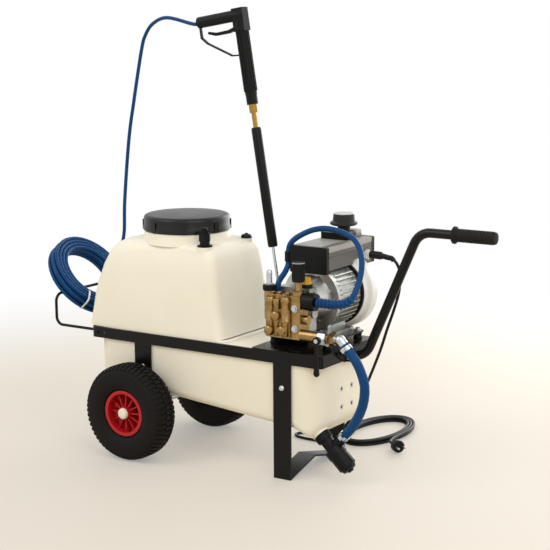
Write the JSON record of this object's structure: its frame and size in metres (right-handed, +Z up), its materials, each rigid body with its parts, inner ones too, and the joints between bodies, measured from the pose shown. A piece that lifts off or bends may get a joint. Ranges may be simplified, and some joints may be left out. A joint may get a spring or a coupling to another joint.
{
  "type": "wheeled sprayer cart",
  "caption": "Two-wheeled sprayer cart with a moulded tank, electric piston pump on a deck, hose cradle, spray lance and pull handle.",
  "frame": {"origin": "on the ground under the middle of the cart's length, cords left out, midway between the wheels", "axes": "+X along the cart from the hose cradle to the handle's grip, +Y across it to the side away from the suction line, +Z up"},
  "size_m": [1.401, 0.748, 1.1967],
  "materials": {
    "frame_paint": "satin black paint on steel",
    "zinc": "zinc plated steel",
    "shaft_steel": "ground steel",
    "black_plastic": "black moulded plastic",
    "rubber": "black rubber",
    "tyre": "black pneumatic tyre",
    "rim_red": "red moulded rim",
    "cream_plastic": "natural cream polyethylene",
    "brass": "cast and turned brass",
    "aluminium": "die-cast aluminium",
    "grey_paint": "grey painted sheet",
    "grey_plastic": "light grey ABS",
    "yellow_plastic": "yellow moulded plastic",
    "screen": "stainless filter screen",
    "hose_blue": "blue hose, satin",
    "lead_black": "black PVC lead",
    "gland_white": "white nylon gland"
  },
  "bodies": {
    "cart": {"belt_frame": "frame_paint", "front_stand": "frame_paint", "axle_legs": "frame_paint", "axle": "zinc", "axle_caps": "cream_plastic", "fasteners": "zinc", "handle_tube": "frame_paint", "handle_clamp": "frame_paint", "handle_grip": "rubber", "tank": "cream_plastic", "tank_breather": "black_plastic", "return_fitting": "black_plastic", "deck_plate": "frame_paint", "rubber_mounts": "rubber", "pump_bracket": "frame_paint", "motor_housing": "aluminium", "cowl_ring": "black_plastic", "fan_cowl": "grey_paint", "pump_flange": "aluminium", "crankcase": "aluminium", "pump_head": "brass", "valve_caps": "brass", "outlet_nut": "black_plastic", "outlet_plug": "zinc", "suction_line": "brass", "ball_valve": "zinc", "suction_elbow": "zinc", "suction_hose": "hose_blue", "filter_body": "black_plastic", "filter_screen": "screen", "bypass_union": "black_plastic", "bypass_hose": "hose_blue", "control_box": "grey_plastic", "box_caps": "black_plastic", "switch_base": "black_plastic", "cable_gland": "gland_white", "hose_cradle": "frame_paint", "lance_holder": "black_plastic", "lance_tube": "zinc", "spray_gun": "black_plastic", "power_lead": "lead_black", "lead_hank": "lead_black", "mains_plug": "black_plastic", "delivery_hose": "hose_blue", "hose_coil": "hose_blue"},
    "wheel_near": {"tyre_near": "tyre", "rim_near": "rim_red"},
    "wheel_far": {"tyre_far": "tyre", "rim_far": "rim_red"},
    "strainer": {"strainer_basket": "black_plastic"},
    "filler_seal": {"lid_seal": "rubber"},
    "filler_lid": {"lid": "black_plastic"},
    "oil_plug": {"oil_cap": "yellow_plastic"},
    "regulator": {"regulator_knob": "black_plastic"},
    "main_switch": {"switch_knob": "black_plastic"},
    "lever": {"valve_lever": "black_plastic"},
    "rotor": {"motor_shaft": "shaft_steel", "cooling_fan": "black_plastic"},
    "bowl": {"filter_bowl": "black_plastic"},
    "trigger": {"gun_trigger": "black_plastic"}
  },
  "joints": [
    {"name": "wheel_near_turn", "type": "hinge", "parent": "cart", "child": "wheel_near", "pos_m": [-0.319, -0.192, 0.13], "axis": [0, 1, 0], "continuous": true},
    {"name": "wheel_far_turn", "type": "hinge", "parent": "cart", "child": "wheel_far", "pos_m": [-0.319, 0.192, 0.13], "axis": [0, 1, 0], "continuous": true},
    {"name": "strainer_lift", "type": "slide", "parent": "cart", "child": "strainer", "axis": [0, 0, 1], "range_m": [0, 0.16]},
    {"name": "lid_lift", "type": "slide", "parent": "strainer", "child": "filler_seal", "axis": [0, 0, 1], "range_m": [0, 0.12]},
    {"name": "lid_turn", "type": "hinge", "parent": "filler_seal", "child": "filler_lid", "pos_m": [-0.262, 0, 0.63], "axis": [0, 0, 1], "range_deg": [0, 360]},
    {"name": "oil_cap_turn", "type": "hinge", "parent": "cart", "child": "oil_plug", "pos_m": [0.151, -0.05, 0.5], "axis": [0, 0, 1], "range_deg": [0, 360]},
    {"name": "regulator_turn", "type": "hinge", "parent": "cart", "child": "regulator", "pos_m": [0.154, -0.092, 0.53], "axis": [0, 0, 1], "range_deg": [0, 360]},
    {"name": "switch_turn", "type": "hinge", "parent": "cart", "child": "main_switch", "pos_m": [0.143, 0.15, 0.63], "axis": [0, 0, 1], "range_deg": [0, 90]},
    {"name": "valve_lever_turn", "type": "hinge", "parent": "cart", "child": "lever", "pos_m": [0.238, -0.14, 0.378], "axis": [0, -1, 0], "range_deg": [0, 90]},
    {"name": "rotor_turn", "type": "hinge", "parent": "cart", "child": "rotor", "pos_m": [0.133, 0.06, 0.452], "axis": [0, 1, 0], "continuous": true},
    {"name": "bowl_turn", "type": "hinge", "parent": "cart", "child": "bowl", "pos_m": [0.215, -0.082, 0.12], "axis": [0.7314, 0, -0.682], "range_deg": [0, 360]},
    {"name": "trigger_pull", "type": "hinge", "parent": "cart", "child": "trigger", "pos_m": [-0.08303, -0.002, 1.14709], "axis": [0, 1, 0], "range_deg": [0, 6.5], "stiffness_Nm_per_rad": 1.2, "springref_deg": -11.46}
  ]
}
